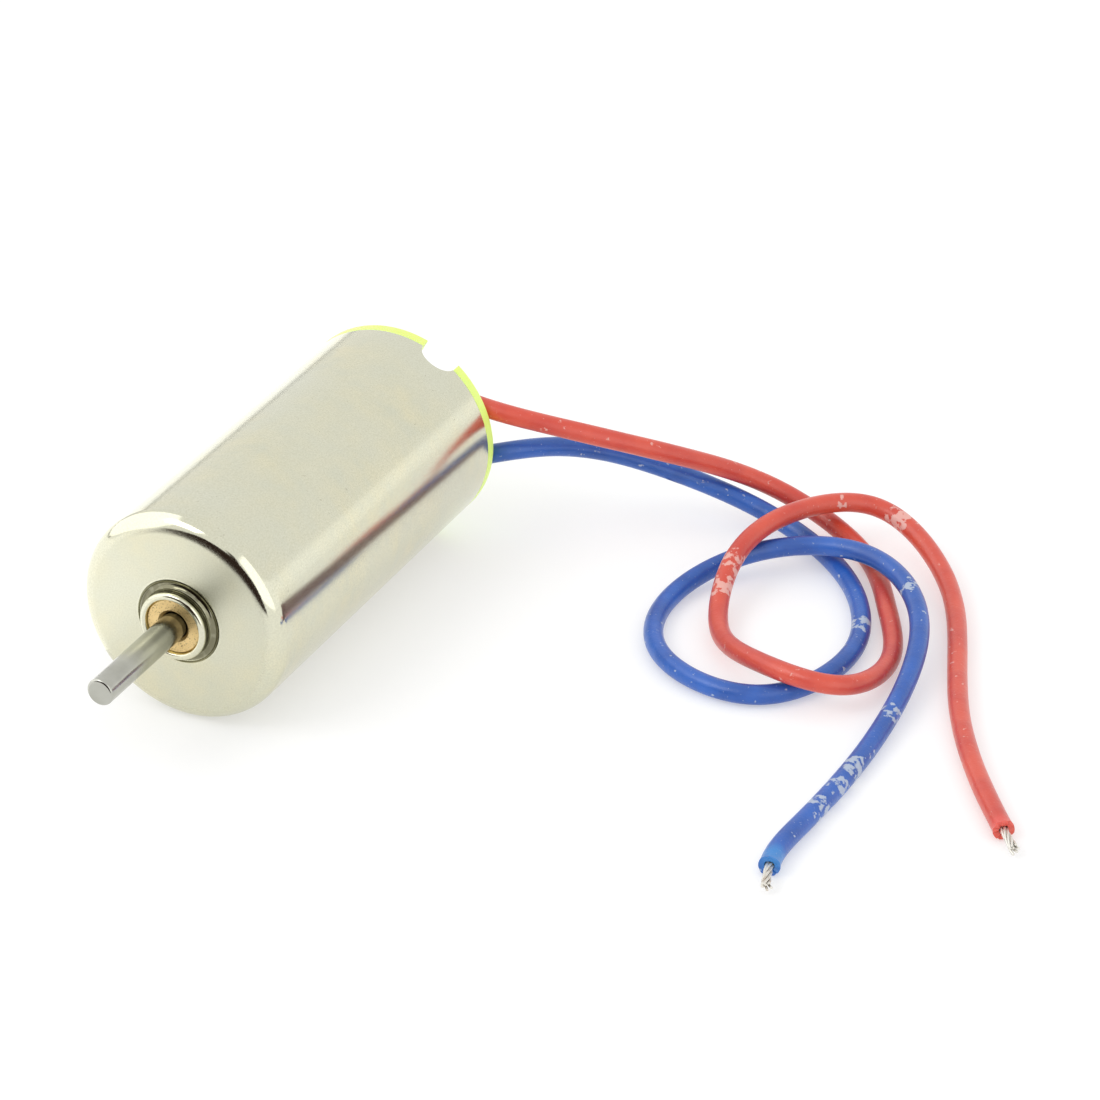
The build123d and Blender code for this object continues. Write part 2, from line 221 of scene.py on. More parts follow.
def flatten(obj):
    """Join the faces that lie in one plane, so that a cut starts from clean flats."""
    bm = bmesh.new()
    bm.from_mesh(obj.data)
    bmesh.ops.dissolve_limit(bm, angle_limit=math.radians(0.3), verts=bm.verts, edges=bm.edges)
    bm.to_mesh(obj.data)
    bm.free()


def cut(obj, cutter):
    """Take the cutter's volume out of an object, then drop the cutter."""
    modifier = obj.modifiers.new("cut", "BOOLEAN")
    modifier.operation = "DIFFERENCE"
    modifier.solver = "EXACT"
    modifier.object = cutter
    bpy.context.view_layer.update()
    mesh = evaluated_mesh(obj)
    obj.modifiers.clear()
    obj.data = mesh
    bpy.data.objects.remove(cutter)


def support(outline, gap=0.03):
    """Extra points close to both ends of every long stretch, so that flats shade flat."""
    points = []
    for one, two in zip(outline, outline[1:] + outline[:1]):
        points.append(one)
        length = math.dist(one, two)
        if length > 5 * gap:
            for part in (gap / length, 1 - gap / length):
                points.append(tuple(a + part * (b - a) for a, b in zip(one, two)))
    return points


def block(frame_axes, limits):
    """A cutter block between limits, in millimetres, on the given axes."""
    corners = [(i, j, k) for i in (0, 1) for j in (0, 1) for k in (0, 1)]
    axes = np.array(frame_axes)
    verts = [MM * sum(limits[d][c[d]] * axes[d] for d in range(3)) for c in corners]
    faces = [(0, 1, 3, 2), (4, 6, 7, 5), (0, 4, 5, 1), (2, 3, 7, 6), (0, 2, 6, 4), (1, 5, 7, 3)]
    mesh = bpy.data.meshes.new("cutter")
    mesh.from_pydata([tuple(v) for v in verts], [], faces)
    bm = bmesh.new()
    bm.from_mesh(mesh)
    bmesh.ops.recalc_face_normals(bm, faces=bm.faces)
    bm.to_mesh(mesh)
    bm.free()
    cutter = bpy.data.objects.new("cutter", mesh)
    bpy.context.scene.collection.objects.link(cutter)
    return cutter


# ---- turned pieces ------------------------------------------------------------------
def notch_angles():
    """Angles about the shaft, closer together round the curve of the can's notch."""
    reach = math.sqrt((SLOT_WIDTH / 2) ** 2 - (NOTCH_CENTRE - CAN_BACK) ** 2)
    sweep = np.linspace(-1, 1, 41) * math.pi / 2
    inside = [KEY + math.asin(reach * math.sin(t) / CAN_R) for t in sweep]
    outside = np.linspace(inside[-1], inside[0] + 2 * math.pi, 281)[1:-1]
    return np.concatenate([inside, outside])


def notch_depth(angle):
    """How far the notch reaches in from the rear rim at an angle about the shaft."""
    across = CAN_R * math.sin(angle - KEY)
    radius = SLOT_WIDTH / 2
    if math.cos(angle - KEY) < 0 or abs(across) >= radius:
        return 0.0
    return max(0.0, math.sqrt(radius**2 - across**2) - (NOTCH_CENTRE - CAN_BACK))


def housing_can():
    """The can: boss with its rims and groove, flat face, rounded corner, wall and notch."""
    bore = BUSH_R + PRESS_GAP
    inner = CAN_R - WALL
    edge = 0.02
    rim, mouth, fillet = 0.13, 0.07, 0.3
    groove = (BOSS_R + 0.16, -0.12)
    outline = [(bore, WALL)]
    outline += arc((bore + mouth, BOSS_FRONT + mouth), mouth, 180, 270, 8)
    outline += arc((BOSS_R - rim, BOSS_FRONT + rim), rim, 270, 360, 12)
    outline += arc(groove, GROOVE_R, 216.87, 36.87, 24)
    outline += arc((CAN_R - CORNER_R, CORNER_R), CORNER_R, 270, 360, 32)
    outline += [(CAN_R, CAN_BACK - edge), (CAN_R - edge, CAN_BACK)]
    outline += [(inner + edge, CAN_BACK), (inner, CAN_BACK - edge)]
    outline += arc((inner - fillet, WALL + fillet), fillet, 0, -90, 8)

    def warp(radius, station, angle):
        if station > CAN_BACK - 0.2:
            return radius, station - notch_depth(angle)
        return radius, station

    return turned("can", support(outline), "housing_can", "nickel_plated_steel", warp=warp,
                  angles=notch_angles())


def bush(name, node):
    """Sintered bush with bevelled bore mouths."""
    front, back = low(node)[1], high(node)[1]
    bore = SHAFT_R + RUNNING_GAP
    mouth, edge = 0.1, 0.05
    outline = [
        (bore + mouth, front), (BUSH_R - edge, front), (BUSH_R, front + edge), (BUSH_R, back - edge),
        (BUSH_R - edge, back), (bore + mouth, back), (bore, back - mouth), (bore, front + mouth),
    ]
    return turned(name, support(outline, 0.015), node, "sintered_bronze")


def shaft():
    """Shaft with a rounded tip, a shallow relief at the boss and a bevelled heel."""
    front, back = low("shaft")[1], high("shaft")[1]
    tip, heel = 0.09, 0.1
    relief_middle, relief_length, relief_depth = -0.25, 0.6, 0.02
    relief_r = (relief_length**2 / 4 + relief_depth**2) / (2 * relief_depth)
    half = math.degrees(math.asin(relief_length / 2 / relief_r))
    outline = [(0, front)]
    outline += arc((SHAFT_R - tip, front + tip), tip, 270, 360, 10)
    relief_centre = (SHAFT_R - relief_depth + relief_r, relief_middle)
    outline += arc(relief_centre, relief_r, 180 + half, 180 - half, 12)
    outline += [(SHAFT_R, back - heel), (SHAFT_R - heel, back), (0, back)]
    return turned("shaft_bar", support(outline, 0.02)[:-2], "shaft", "shaft_steel", body="rotor", count=128)


def sleeve(name, node, slot, bore, body="motor_body", edge=0.02):
    """A plain ring with broken edges that fills a CAD node's own length and radius."""
    radius, front, back = high(node)[0], low(node)[1], high(node)[1]
    outline = [
        (bore + edge, front), (radius - edge, front), (radius, front + edge), (radius, back - edge),
        (radius - edge, back), (bore + edge, back), (bore, back - edge), (bore, front + edge),
    ]
    return turned(name, support(outline, 0.02), node, slot, body)


def bearing_tube():
    """Flanged tube that carries the magnet."""
    bore, wall_r = BUSH_R + PRESS_GAP, BOSS_R
    flange_r, front, back = high("bearing_tube")[0], low("bearing_tube")[1], high("bearing_tube")[1]
    flange_back = front + 0.4
    outline = [
        (bore, front), (flange_r, front), (flange_r, flange_back), (wall_r, flange_back),
        (wall_r, back - 0.1), (wall_r - 0.1, back), (bore, back),
    ]
    return turned("tube", support(outline), "bearing_tube", "tube_steel")


def rotor_hub():
    """Hub disc and commutator core."""
    bore, disc_r = SHAFT_R + PRESS_GAP, high("rotor_hub")[0]
    front, back = low("rotor_hub")[1], high("rotor_hub")[1]
    disc_back, core_r, edge = 12.4, 0.715, 0.15
    outline = [
        (bore, front), (disc_r - edge, front), (disc_r, front + edge), (disc_r, disc_back),
        (core_r, disc_back), (core_r, back), (bore, back),
    ]
    return turned("hub", support(outline), "rotor_hub", "hub_plastic", body="rotor")


def winding_cup():
    """Cup of two crossing layers of wire, drawn as fine helical ridges on both faces."""
    node = "winding_cup"
    radius, front, back = high(node)[0], low(node)[1], high(node)[1]
    bore, end, ridge = radius - 0.6, 0.2, 0.012
    wires_around, skew = 72, 5
    stations = np.linspace(front + end, back - end, 60)[1:-1]
    outline = arc((bore + end, front + end), end, 180, 270, 6)
    outline += arc((radius - end, front + end), end, 270, 360, 6)
    outline += [(radius, y) for y in stations]
    outline += arc((radius - end, back - end), end, 0, 90, 6)
    outline += arc((bore + end, back - end), end, 90, 180, 6)
    outline += [(bore, y) for y in stations[::-1]]

    def warp(r, y, angle):
        around, along = wires_around * angle, skew * y
        wires = math.cos(around + along) * math.cos(around - along)
        inwards = -1 if r > bore + end else 1
        return r + inwards * ridge * (0.5 + 0.5 * wires), y

    return turned("winding", outline, node, "copper_winding", body="rotor", count=288, warp=warp)


# ---- end cap ------------------------------------------------------------------------
CAP_AXES = [
    (-math.sin(KEY), 0, math.cos(KEY)),  # towards the positive terminal
    (0, 1, 0),
    (-math.cos(KEY), 0, -math.sin(KEY)),  # away from the key slot
]
OPPOSITE_AXES = [tuple(-c for c in CAP_AXES[0]), (0, 1, 0), tuple(-c for c in CAP_AXES[2])]


def end_cap():
    """Plug and flange with the key slot, the thrust pad's pocket and the terminal slots."""
    plug_r, pad_r, pad_back = CAN_R - WALL - PRESS_GAP, 0.855, 14.83
    edge, front_edge = 0.08, 0.1
    through = (0, 2 * CAP_BACK)
    tab_slot = ((1.845, 2.055), through, (-1.905, -0.895))
    foot_recess = ((1.345, 2.555), (15.795, 2 * CAP_BACK), (-1.905, -0.395))
    outline = [(0, pad_back), (pad_r, pad_back), (pad_r, PLUG_FRONT)]
    outline += [(plug_r - front_edge, PLUG_FRONT)]
    outline += [(plug_r, PLUG_FRONT + front_edge), (plug_r, CAN_BACK + PRESS_GAP)]
    outline += [(CAN_R - 0.03, CAN_BACK + PRESS_GAP), (CAN_R, CAN_BACK + 0.035)]
    outline += arc((CAN_R - edge, CAP_BACK - edge), edge, 0, 90, 8)
    outline += [(0, CAP_BACK)]
    cap = turned("cap", outline, "end_cap", "cap_plastic", count=256)
    flatten(cap)
    half = SLOT_WIDTH / 2
    cut(cap, block(CAP_AXES, ((-half, half), through, (-2 * CAN_R, SLOT_DEPTH - CAN_R))))
    for axes in (CAP_AXES, OPPOSITE_AXES):
        cut(cap, block(axes, tab_slot))
        cut(cap, block(axes, foot_recess))
    clean_cut(cap.data)
    return cap


def clean_cut(mesh):
    """Weld a cut mesh, close the hairline gaps that the cuts left, and shade it flat by edge."""
    bm = bmesh.new()
    bm.from_mesh(mesh)
    bmesh.ops.remove_doubles(bm, verts=bm.verts, dist=1e-8)
    bmesh.ops.triangulate(bm, faces=[f for f in bm.faces if len(f.verts) > 4])
    bmesh.ops.holes_fill(bm, edges=[e for e in bm.edges if e.is_boundary], sides=4)
    bm.to_mesh(mesh)
    bm.free()
    mesh.shade_smooth()
    mesh.set_sharp_from_angle(angle=math.radians(30))


# ---- leads and solder ---------------------------------------------------------------
def spline(points, step=0.08):
    """Natural cubic spline through points, sampled at even steps along its length."""
    p = np.array(points, float)
    t = np.concatenate([[0], np.cumsum(np.linalg.norm(np.diff(p, axis=0), axis=1))])
    h = np.diff(t)
    count = len(p)
    system, right = np.eye(count), np.zeros((count, 3))
    for i in range(1, count - 1):
        system[i, i - 1 : i + 2] = h[i - 1], 2 * (h[i - 1] + h[i]), h[i]
        right[i] = 6 * ((p[i + 1] - p[i]) / h[i] - (p[i] - p[i - 1]) / h[i - 1])
    bend = np.linalg.solve(system, right)
    fine = np.linspace(0, t[-1], 4000)
    k = np.clip(np.searchsorted(t, fine) - 1, 0, count - 2)
    a, b, width = (t[k + 1] - fine)[:, None], (fine - t[k])[:, None], h[k][:, None]
    curve = (bend[k] * a**3 + bend[k + 1] * b**3) / (6 * width)
    curve += (p[k] / width - bend[k] * width / 6) * a
    curve += (p[k + 1] / width - bend[k + 1] * width / 6) * b
    along = np.concatenate([[0], np.cumsum(np.linalg.norm(np.diff(curve, axis=0), axis=1))])
    even = np.linspace(0, along[-1], int(along[-1] / step) + 1)
    return np.stack([np.interp(even, along, curve[:, d]) for d in range(3)], axis=1), even


def transport(curve):
    """Tangent and two side vectors at each point, with no needless twist."""
    tangent = np.gradient(curve, axis=0)
    tangent /= np.linalg.norm(tangent, axis=1)[:, None]
    side = np.cross(tangent[0], (0, 0, 1))
    sides = []
    for t in tangent:
        side = side - t * np.dot(side, t)
        side = side / np.linalg.norm(side)
        sides.append(side)
    sides = np.array(sides)
    return tangent, sides, np.cross(tangent, sides)


def skin(rings, loop=False):
    """Points and faces of a stack of equal rings, joined into a loop or capped at both ends."""
    count = len(rings[0])
    verts = [tuple(v) for ring in rings for v in ring]
    faces = []
    last = len(rings) if loop else len(rings) - 1
    for i in range(last):
        one, two = i * count, (i + 1) % len(rings) * count
        for j in range(count):
            k = (j + 1) % count
            faces.append((one + j, one + k, two + k, two + j))
    if not loop:
        faces.append(tuple(range(count)))
        faces.append(tuple(range(len(verts) - count, len(verts))))
    return verts, faces


def ripple(rng, size):
    """A slow random wave of a given size, as a function of the distance along a lead."""
    waves = [(rng.uniform(0.3, 2.2), rng.uniform(0, 6.3), rng.uniform(0.3, 1)) for _ in range(6)]
    total = sum(w[2] for w in waves)
    return lambda s: size * sum(w[2] * math.sin(w[0] * s + w[1]) for w in waves) / total


def insulation(name, path, node, slot, rng, sides=28):
    """Sleeve of a lead: slightly uneven, flared and ragged where it was stripped."""
    curve, along = spline(path)
    keep = (along > BARE_AT_TERMINAL) & (along < along[-1] - BARE_AT_END)
    curve, along = curve[keep], along[keep]
    tangent, side, up = transport(curve)
    uneven = ripple(rng, 0.006)
    angles = np.linspace(0, 2 * math.pi, sides, endpoint=False)
    jag_size, jag_reach = 0.05, 0.12
    flare_size, flare_reach = 0.07, 0.15
    ragged = [rng.uniform(-jag_size, jag_size) for _ in angles]
    edge, edge_shift = 0.04, 0.03

    def ring(i, radius, shift=0.0):
        from_end = min(along[i] - along[0], along[-1] - along[i])
        jag = math.exp(-from_end / jag_reach)
        out = radius
        if radius > LEAD_BORE_R:
            out = radius * (1 + flare_size * math.exp(-from_end / flare_reach)) + uneven(along[i])
        sign = 1 if i > len(along) / 2 else -1
        return [
            curve[i] + tangent[i] * (sign * (jag * ragged[j] - jag_size * jag) + shift)
            + out * (math.cos(a) * side[i] + math.sin(a) * up[i])
            for j, a in enumerate(angles)
        ]

    last = len(along) - 1
    rings = [ring(0, LEAD_R - edge, -edge_shift)]
    rings += [ring(i, LEAD_R) for i in range(len(along))]
    rings += [ring(last, LEAD_R - edge, edge_shift)]
    rings += [ring(i, LEAD_BORE_R) for i in range(last, -1, -3)]
    verts, faces = skin(rings, loop=True)
    return new_piece(name, verts, faces, node, slot, sharp=50)


def strands(name, path, node, rng, sides=7):
    """Seven twisted strands from the solder joint to the frayed tip."""
    curve, along = spline(path, 0.12)
    _, side, up = transport(curve)
    loose_reach = 0.25
    angles = np.linspace(0, 2 * math.pi, sides, endpoint=False)
    verts, faces = [], []
    for k in range(7):
        lay_r = 0 if k == 0 else 2 * STRAND_R
        fray = rng.uniform(0.0, 0.05)
        cut_back = rng.randrange(0, 2)
        rings = []
        for i in range(len(along) - cut_back):
            turn = 2 * math.pi * (k / 6 + along[i] / STRAND_PITCH)
            loose = 1 + fray / STRAND_R * math.exp(-(along[-1] - along[i]) / loose_reach)
            centre = curve[i] + lay_r * loose * (math.cos(turn) * side[i] + math.sin(turn) * up[i])
            rings.append([
                centre + STRAND_R * (math.cos(a) * side[i] + math.sin(a) * up[i]) for a in angles
            ])
        more_verts, more_faces = skin(rings)
        faces += [tuple(len(verts) + v for v in face) for face in more_faces]
        verts += more_verts
    return new_piece(name, verts, faces, node, "tinned_copper", sharp=60)


def solder_joint(name, path, node):
    """Solder dome over the end of a lead."""
    x, _, z = path[0]
    radius, height = high(node)[0] - x, high(node)[1] - CAP_BACK
    quarter = np.linspace(0, math.pi / 2, 20)[:-1]
    outline = [(0, CAP_BACK)]
    outline += [(radius * math.cos(t), CAP_BACK + height * math.sin(t)) for t in quarter]
    outline += [(0, CAP_BACK + height)]
    verts, faces = lathe_mesh(outline, np.linspace(0, 2 * math.pi, 64, endpoint=False))
    verts = [(v[0] + x, v[1], v[2] + z) for v in verts]
    return new_piece(name, verts, faces, node, "solder")


def marks(path, places):
    """Centre and reach of marks on the camera's side of a lead, from distances along it."""
    curve, along = spline(path)
    azimuth, elevation = math.radians(CAMERA_AZIMUTH), math.radians(CAMERA_ELEVATION)
    outwards = math.cos(elevation)
    facing = (math.sin(azimuth) * outwards, -math.cos(azimuth) * outwards, math.sin(elevation))
    shift = LEAD_R * np.array(facing)
    return [(tuple(curve[np.searchsorted(along, far)] + shift), reach) for far, reach in places]


# ---- materials ----------------------------------------------------------------------
class Paint:
    """A Principled material being put together. Places are in millimetres on the piece."""

    def __init__(self, name, roughness, metallic=0.0):
        self.material = bpy.data.materials.new(name)
        self.material.use_nodes = True
        self.tree = self.material.node_tree
        self.shader = self.tree.nodes["Principled BSDF"]
        self.put("Roughness", roughness)
        self.put("Metallic", metallic)
        where = self.node("ShaderNodeTexCoord").outputs["Object"]
        self.place = self.scaled(where, (1 / MM,) * 3)

    def node(self, kind, inputs=None, **settings):
        """A node with its inputs linked or set."""
        made = self.tree.nodes.new(kind)
        for key, value in settings.items():
            setattr(made, key, value)
        for key, value in (inputs or {}).items():
            if isinstance(value, bpy.types.NodeSocket):
                self.tree.links.new(value, made.inputs[key])
            else:
                made.inputs[key].default_value = value
        return made

    def put(self, name, value):
        """Set or link an input of the shader."""
        if isinstance(value, bpy.types.NodeSocket):
            self.tree.links.new(value, self.shader.inputs[name])
        elif self.shader.inputs[name].type == "RGBA":
            self.shader.inputs[name].default_value = (*value, 1)
        else:
            self.shader.inputs[name].default_value = value

    def linked(self, name):
        """The socket that feeds an input of the shader."""
        return self.shader.inputs[name].links[0].from_socket

    def scaled(self, place, scale):
        """A place multiplied along each axis."""
        return self.node("ShaderNodeVectorMath", {0: place, 1: scale}, operation="MULTIPLY").outputs[0]

    def station(self):
        """Distance along the shaft."""
        return self.node("ShaderNodeSeparateXYZ", {0: self.place}).outputs["Y"]

    def radius(self):
        """Distance from the shaft axis."""
        out = self.scaled(self.place, (1, 0, 1))
        return self.node("ShaderNodeVectorMath", {0: out}, operation="LENGTH").outputs["Value"]

    def noise(self, grain, detail=4.0, stretch=(1, 1, 1), seed=0.0):
        """Noise with features about one grain wide, stretched along the axes."""
        scale = tuple(1 / (grain * s) for s in stretch)
        inputs = {0: self.scaled(self.place, scale), 1: (seed, seed, seed)}
        place = self.node("ShaderNodeVectorMath", inputs, operation="ADD").outputs[0]
        inputs = {"Vector": place, "Scale": 1.0, "Detail": detail}
        return self.node("ShaderNodeTexNoise", inputs).outputs["Fac"]

    def span(self, value, low_in, high_in, low_out, high_out):
        """A value moved from one range to another and clamped."""
        ends = {"From Min": low_in, "From Max": high_in, "To Min": low_out, "To Max": high_out}
        return self.node("ShaderNodeMapRange", {"Value": value, **ends}).outputs[0]

    def maths(self, operation, one, two):
        """A maths node on two values."""
        return self.node("ShaderNodeMath", {0: one, 1: two}, operation=operation).outputs[0]

    def times(self, one, two):
        """Product of two values."""
        return self.maths("MULTIPLY", one, two)

    def plus(self, one, two):
        """Sum of two values."""
        return self.maths("ADD", one, two)

    def most(self, one, two):
        """The larger of two values."""
        return self.maths("MAXIMUM", one, two)

    def blend(self, amount, one, two):
        """Colour between two colours."""
        made = self.node("ShaderNodeMix", data_type="RGBA")
        for slot, value in ((0, amount), (6, one), (7, two)):
            if isinstance(value, bpy.types.NodeSocket):
                self.tree.links.new(value, made.inputs[slot])
            else:
                made.inputs[slot].default_value = (*value, 1)
        return made.outputs[2]

    def bump(self, height, depth, strength=1.0):
        """Relief of a depth in millimetres, added on top of any relief already there."""
        inputs = {"Height": height, "Distance": depth * MM, "Strength": strength}
        made = self.node("ShaderNodeBump", inputs)
        old = self.shader.inputs["Normal"]
        if old.is_linked:
            self.tree.links.new(old.links[0].from_socket, made.inputs["Normal"])
        self.tree.links.new(made.outputs[0], old)

    def near(self, spots):
        """1 at the centre of any of the spots, falling to 0 at its reach."""
        total = None
        for centre, reach in spots:
            away = self.node("ShaderNodeVectorMath", {0: self.place, 1: centre}, operation="DISTANCE")
            one = self.span(away.outputs["Value"], 0.4 * reach, reach, 1.0, 0.0)
            total = one if total is None else self.most(total, one)
        return total


def worked_metal(name, colour, dark, roughness, grain, relief, spread=0.06):
    """Metal with fine grain, slow mottling and uneven polish."""
    paint = Paint(name, roughness, 1.0)
    mottle = paint.noise(0.9, 5, seed=2)
    fine = paint.noise(grain, 3, seed=5)
    paint.put("Base Color", paint.blend(paint.span(mottle, 0.35, 0.7, 0.0, 1.0), colour, dark))
    paint.put("Roughness", paint.span(fine, 0.3, 0.7, roughness - spread, roughness + spread))
    paint.bump(fine, relief)
    return paint


def nickel_plate():
    """Satin nickel plate: fine grain, faint turned lines, scuffs, and painted shade round the foot of the
    boss.
    """
    bright, dull = (0.75, 0.71, 0.51), (0.67, 0.67, 0.53)
    paint = worked_metal("nickel_plated_steel", bright, dull, 0.18, 0.05, 0.0006, 0.04)
    paint.bump(paint.noise(0.09, 3, stretch=(30, 1, 30), seed=9), 0.0009)
    tint = paint.span(paint.noise(3.5, 2, seed=44), 0.3, 0.7, 0.0, 1.0)
    clean = paint.blend(tint, paint.linked("Base Color"), (0.70, 0.70, 0.57))
    specks = paint.span(paint.noise(0.16, 2, seed=20), 0.70, 0.76, 0.0, 0.55)
    patches = paint.span(paint.noise(1.6, 2, seed=31), 0.52, 0.62, 0.0, 1.0)
    worn = paint.blend(paint.times(specks, patches), clean, (0.30, 0.27, 0.20))
    grain = paint.span(paint.noise(0.06, 4, seed=70), 0.35, 0.65, 0.0, 0.34)
    worn = paint.blend(grain, worn, (0.52, 0.51, 0.38))
    # Painted shade: the groove at the foot of the boss is darkened.
    paint.put("Base Color", paint.blend(boss_foot_shade(paint), worn, (0.20, 0.19, 0.125)))
    satin = paint.times(
        paint.span(paint.station(), 0.0, 0.06, 1.0, 0.0),
        paint.span(paint.radius(), BOSS_R + 0.3, BOSS_R + 0.4, 0.0, 0.23),
    )
    burnished = paint.span(paint.station(), 0.5, 0.9, -0.07, 0.0)
    paint.put("Roughness", paint.plus(paint.plus(paint.linked("Roughness"), satin), burnished))
    return paint.material


def boss_foot_shade(paint):
    """Painted shade on the can: 1 in the groove at the foot of the boss, broken by noise."""
    foot = paint.times(
        paint.span(paint.radius(), BOSS_R - 0.06, BOSS_R - 0.01, 0.0, 1.0),
        paint.span(paint.radius(), BOSS_R + 0.22, BOSS_R + 0.32, 1.0, 0.0),
    )
    below_rim = paint.span(paint.station(), BOSS_FRONT + 0.07, BOSS_FRONT + 0.16, 0.0, 1.0)
    broken = paint.span(paint.noise(0.3, 3, seed=8), 0.3, 0.5, 0.75, 1.0)
    return paint.times(paint.times(foot, below_rim), broken)


def ground_steel():
    """Centreless-ground shaft: fine rings round the bar, and painted shade that darkens it near the bush.
    """
    paint = worked_metal("shaft_steel", (0.50, 0.50, 0.45), (0.42, 0.42, 0.37), 0.2, 0.05, 0.0006)
    paint.bump(paint.noise(0.03, 2, stretch=(20, 1, 20), seed=3), 0.0012)
    # Painted shade: the bar is darkened towards the bush.
    shade_near_bush = paint.span(paint.station(), BOSS_FRONT - 1.9, BOSS_FRONT - 0.6, 0.0, 0.75)
    paint.put("Base Color", paint.blend(shade_near_bush, paint.linked("Base Color"), (0.20, 0.20, 0.17)))
    return paint.material


def tube_steel():
    """Turned and plated tube."""
    bright, dull = (0.62, 0.61, 0.58), (0.50, 0.49, 0.46)
    return worked_metal("tube_steel", bright, dull, 0.32, 0.04, 0.001).material


def sintered_bronze():
    """Sintered bronze: open pores, oily darker patches."""
    paint = worked_metal("sintered_bronze", (0.79, 0.59, 0.28), (0.62, 0.45, 0.20), 0.36, 0.04, 0.003)
    pores = paint.span(paint.noise(0.05, 2, seed=11), 0.60, 0.68, 0.0, 0.8)
    paint.put("Base Color", paint.blend(pores, paint.linked("Base Color"), (0.10, 0.06, 0.03)))
    paint.bump(pores, -0.004)
    return paint.material


def magnet_plate():
    """Nickel-coated neodymium."""
    return worked_metal("magnet", (0.50, 0.50, 0.50), (0.40, 0.40, 0.41), 0.35, 0.03, 0.002).material


def enamelled_copper():
    """Enamelled copper wire under a skin of epoxy."""
    paint = worked_metal("copper_winding", (0.62, 0.23, 0.09), (0.45, 0.15, 0.05), 0.32, 0.05, 0.002)
    paint.put("Coat Weight", 0.6)
    return paint.material


def amber_epoxy():
    """Cured epoxy bead."""
    paint = Paint("epoxy", 0.2)
    cloud = paint.noise(0.3)
    paint.put("Base Color", paint.blend(cloud, (0.45, 0.22, 0.04), (0.62, 0.36, 0.08)))
    paint.bump(paint.noise(0.12), 0.01)
    return paint.material


def moulded(name, colour, shade, roughness):
    """Moulded plastic with a fine mould texture."""
    paint = Paint(name, roughness)
    paint.put("Base Color", paint.blend(paint.noise(1.2), colour, shade))
    grain = paint.noise(0.05, 3, seed=4)
    paint.put("Roughness", paint.span(grain, 0.3, 0.7, roughness - 0.06, roughness + 0.06))
    paint.bump(grain, 0.003)
    return paint


def hub_plastic():
    """Black glass-filled plastic."""
    return moulded("hub_plastic", (0.012, 0.012, 0.014), (0.02, 0.02, 0.022), 0.5).material


def washer_plastic():
    """Off-white low-friction plastic."""
    return moulded("washer_plastic", (0.75, 0.72, 0.62), (0.68, 0.65, 0.55), 0.42).material


def cap_plastic():
    """Fluorescent yellow-green moulding, which glows a little of its own."""
    paint = moulded("cap_plastic", (0.76, 0.95, 0.24), (0.68, 0.90, 0.19), 0.38)
    paint.put("Subsurface Weight", 0.25)
    paint.put("Subsurface Radius", (0.6, 0.8, 0.2))
    paint.shader.inputs["Subsurface Scale"].default_value = 0.5 * MM
    paint.put("Emission Color", (0.70, 1.0, 0.12))
    paint.put("Emission Strength", 0.12)
    return paint.material


def contact_gold():
    """Gold-alloy contact metal."""
    bright, dull = (0.85, 0.62, 0.28), (0.75, 0.52, 0.22)
    return worked_metal("contact_gold", bright, dull, 0.25, 0.04, 0.001).material


def tinned(name, colour, dark, roughness):
    """Tin or solder: frosty grain with brown flux tints."""
    paint = worked_metal(name, colour, dark, roughness, 0.06, 0.004, 0.1)
    flux = paint.span(paint.noise(0.45, 3, seed=14), 0.56, 0.74, 0.0, 0.6)
    paint.put("Base Color", paint.blend(flux, paint.linked("Base Color"), (0.30, 0.17, 0.08)))
    return paint.material


def sleeve_pvc(name, colour, shade, pale, scuffs, end, end_colour, seed):
    """Soft PVC: waxy sheen, faint unevenness, rubbed flakes, dust specks and a lighter, brighter tone near
    the free end.
    """
    paint = Paint(name, 0.40)
    slow = paint.noise(1.5, 3, seed=seed)
    body = paint.blend(paint.span(slow, 0.35, 0.65, 0.0, 1.0), colour, shade)
    # A lighter, brighter tone near the free end, on the side that faces the camera.
    body = paint.blend(paint.times(paint.near(end), 0.5), body, end_colour)
    rubbed = paint.plus(paint.times(paint.near(scuffs), 0.21), paint.noise(0.3, 5, seed=seed + 7))
    flakes = paint.span(rubbed, 0.665, 0.72, 0.0, 0.8)
    specks = paint.span(paint.noise(0.11, 3, seed=seed + 3), 0.68, 0.74, 0.0, 0.4)
    marks = paint.most(flakes, specks)
    paint.put("Base Color", paint.blend(marks, body, pale))
    paint.put("Roughness", paint.span(marks, 0.0, 1.0, 0.36, 0.62))
    paint.put("Coat Weight", 0.3)
    paint.put("Coat Roughness", 0.3)
    paint.bump(paint.noise(0.09, 3, seed=seed + 1), 0.012)
    paint.bump(slow, 0.08)
    paint.bump(flakes, 0.01)
    return paint.material


